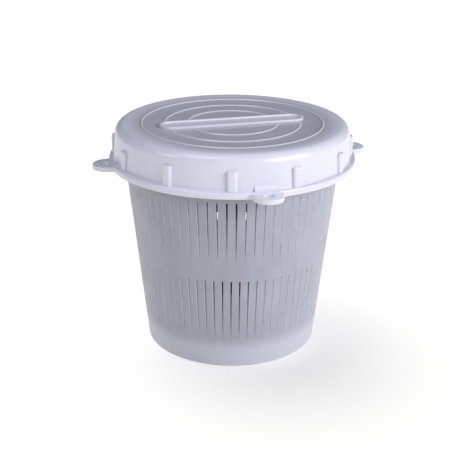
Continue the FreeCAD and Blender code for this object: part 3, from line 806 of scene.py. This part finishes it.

# %% [markdown]
# ### White polyethylene, injection moulded: the lid
# Polyethylene is waxy: whiter and smoother than the cup, with a soft highlight along the shoulder.
# The top plate is painted greyer than the thick shoulder, as painted shade standing in for light
# that goes through the thin plate to the dark inside. The rings and the panel, which stand up from
# it, are painted whiter again, as painted light. A few dark specks are burnt grains of plastic.

# %% Make the lid's finish
# Radii where the top plate's painted shade fades in towards the middle, and heights above the plate
# where the painted light on the rings and the panel fades in, in metres.
PLATE_SHADE_FADE = (66 * MM, 53 * MM)
RELIEF_LIGHT_FADE = (0.06 * MM, 0.35 * MM)

lid_plastic, tree, place = new_finish("white_polyethylene_moulded")
parts, level, away = round_the_axis(tree, place)
# Painted shade: the top plate inside the shoulder is drawn greyer than the rest of the lid.
plate = between(tree, away, *PLATE_SHADE_FADE)
plate_face = add_node(tree, "ShaderNodeMapRange", Value=away)
for name, number in (("From Min", DISH_RADIUS * MM), ("From Max", SLOPE_RADIUS * MM),
                     ("To Min", DISH_FLOOR * MM), ("To Max", LID_TOP * MM)):
    plate_face.inputs[name].default_value = number
# Painted light: the rings and the panel are drawn whiter, more so the higher they stand above the
# plate.
raised = add_node(tree, "ShaderNodeMath", {"operation": "SUBTRACT"}, Value=parts.outputs["Z"])
tree.links.new(plate_face.outputs[0], raised.inputs[1])
relief_painted_light = between(tree, raised.outputs[0], *RELIEF_LIGHT_FADE)

plate_colour = mottled(tree, place, 34, "aeadb6", "b3b2bb")
plate_colour = blend_colours(tree, relief_painted_light, plate_colour, linear("d2d1da"))
lid_colour = mottled(tree, place, 34, "cfcfd9", "d3d3dd")
lid_colour = blend_colours(tree, plate, lid_colour, plate_colour)
lid_colour = specked(tree, place, lid_colour, 11, 0.036, 0.022)

grain = patch_pattern(tree, place, 0.5, detail=2.0)
grain_bump = add_node(tree, "ShaderNodeBump", Height=grain, Strength=0.03, Distance=0.00003)
waviness = patch_pattern(tree, place, 14, detail=1.0)
wave_bump = add_node(tree, "ShaderNodeBump", Height=waviness, Strength=0.1, Distance=0.0001,
                     Normal=grain_bump.outputs[0])
haze = between(tree, patch_pattern(tree, place, 7), 0.3, 0.7, 0.24, 0.28)
shader = add_node(tree, "ShaderNodeBsdfPrincipled", Base_Color=lid_colour, Roughness=haze,
                  IOR=1.51, Normal=wave_bump.outputs[0])
add_node(tree, "ShaderNodeOutputMaterial", Surface=shader.outputs[0])
print("made", lid_plastic.name)

# %% [markdown]
# ## Put the pieces on their bodies
# Each piece takes its finish, rides on the body that its CAD node rides on, and stands for that
# node.

# %% Finish, ride and replace
for piece, finish, node, body, slot_name in (
        (cup, cup_plastic, "mould_cup", "cup", "cup_plastic"),
        (lid, lid_plastic, "lid", "lid", "lid_plastic")):
    piece.data.materials.clear()
    piece.data.materials.append(finish)
    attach(piece, body)
    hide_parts(node)
    print(piece.name, "rides on", body)

# %% [markdown]
# ## The table
# A product like this is photographed on white paper so bright that it washes out to white. A soft
# shadow is all that is left of it. The paper therefore glows a little by itself, and the rest of
# its brightness comes from above, which is what the mould can shade. So large a glowing face would
# speckle the plastic if it were aimed at like a lamp, so its glow is found by bounced light alone.

# %% Make the table
TABLE_SIZE = 8.0
TABLE_GLOW = 0.54

start_clean()
bpy.ops.mesh.primitive_plane_add(size=TABLE_SIZE)
table = bpy.context.object
table.name = "table"
table_paper, tree, place = new_finish("matt_white_paper")
paper = patch_pattern(tree, place, 60, detail=2.0)
paper_colour = blend_colours(tree, paper, linear("f4f4f3"), linear("f7f7f7"))
shader = add_node(tree, "ShaderNodeBsdfPrincipled", Base_Color=paper_colour, Roughness=0.9,
                  Emission_Color=linear("fffefb"), Emission_Strength=TABLE_GLOW)
add_node(tree, "ShaderNodeOutputMaterial", Surface=shader.outputs[0])
table_paper.cycles.emission_sampling = "NONE"
table.data.materials.append(table_paper)
print("table", TABLE_SIZE, "m")

# %% [markdown]
# ## The lights
# A large soft box stands low on the right, which leaves the flat top in half shade. A small one on
# the left draws a streak along the shoulder, and one high on the left lifts the shoulder and the
# top. Photographers keep such lamps off the table with black flags. Here light linking does that:
# the boxes light the mould only, and a broad high light from behind lights the table only and
# lays the shadow towards the front right.

# %% Hang the lights
MIDDLE = Vector((0, 0, 0.075))


def towards(bearing, lift):
    """The way from the mould to a compass bearing and a lift, both in degrees.
    Bearing 0 is straight in front of the mould, and 90 is on its right."""
    turn, rise = math.radians(bearing), math.radians(lift)
    return Vector((math.sin(turn) * math.cos(rise), -math.cos(turn) * math.cos(rise),
                   math.sin(rise)))


def hang_light(name, bearing, lift, away, width, height, power, colour):
    """A soft box that faces the mould, so many metres away, with its sides in metres."""
    spot = MIDDLE + away * towards(bearing, lift)
    start_clean()
    bpy.ops.object.light_add(type="AREA", location=spot)
    light = bpy.context.object
    light.name = name
    light.rotation_euler = (MIDDLE - spot).to_track_quat("-Z", "Y").to_euler()
    light.data.shape = "RECTANGLE"
    light.data.size = width
    light.data.size_y = height
    light.data.energy = power
    light.data.color = linear(colour)[:3]
    return light


def lit_alone(name, pieces):
    """A group of pieces that a light can be kept to."""
    group = bpy.data.collections.new(name)
    for piece in pieces:
        group.objects.link(piece)
    return group


mould_only = lit_alone("flagged_off_the_table", (cup, lid))
for box in (
        ("soft_box_right", 40, 24, 1.2, 0.8, 0.6, 14.0, "f8f8ff"),
        ("soft_box_left", -80, 30, 1.3, 0.35, 0.25, 2.2, "f0f2ff"),
        ("soft_box_above", -60, 62, 1.3, 0.6, 0.6, 5.6, "e6eaff")):
    hang_light(*box).light_linking.receiver_collection = mould_only

start_clean()
bpy.ops.object.light_add(type="SUN")
high_light = bpy.context.object
high_light.name = "high_soft_light"
high_light.rotation_euler = (-towards(-155, 68)).to_track_quat("-Z", "Y").to_euler()
high_light.data.energy = 1.4
high_light.data.angle = math.radians(50)
high_light.light_linking.receiver_collection = lit_alone("the_table_alone", (table,))

sky = bpy.data.worlds.new("studio")
bpy.context.scene.world = sky
sky.use_nodes = True
backdrop = sky.node_tree.nodes["Background"]
backdrop.inputs["Color"].default_value = linear("f1f1f6")
backdrop.inputs["Strength"].default_value = 0.16

# %% [markdown]
# ## The camera
# The camera looks down on the mould at 22 degrees, from 15 degrees to the left of the panel's
# middle, with a long lens and a very slight roll.

# %% Place the camera
CAMERA_AWAY = 0.6234
CAMERA_BEARING = -15
CAMERA_LIFT = 22.363
CAMERA_ROLL = 0.00665
CAMERA_LENS = 77.12
SENSOR_WIDTH = 36

orbit_middle = Vector((0, 0, 0.060))
aim = Vector((-0.0016, 0.0004, 0.0686))
eye = orbit_middle + CAMERA_AWAY * towards(CAMERA_BEARING, CAMERA_LIFT)
start_clean()
bpy.ops.object.camera_add(location=eye)
camera = bpy.context.object
camera.data.sensor_width = SENSOR_WIDTH
camera.data.lens = CAMERA_LENS
looking = (aim - eye).to_track_quat("-Z", "Y").to_matrix()
camera.rotation_euler = (looking @ Matrix.Rotation(CAMERA_ROLL, 3, "Z")).to_euler()
bpy.context.scene.camera = camera
bpy.context.scene.view_settings.view_transform = "Standard"
print("camera at", [round(value, 4) for value in eye])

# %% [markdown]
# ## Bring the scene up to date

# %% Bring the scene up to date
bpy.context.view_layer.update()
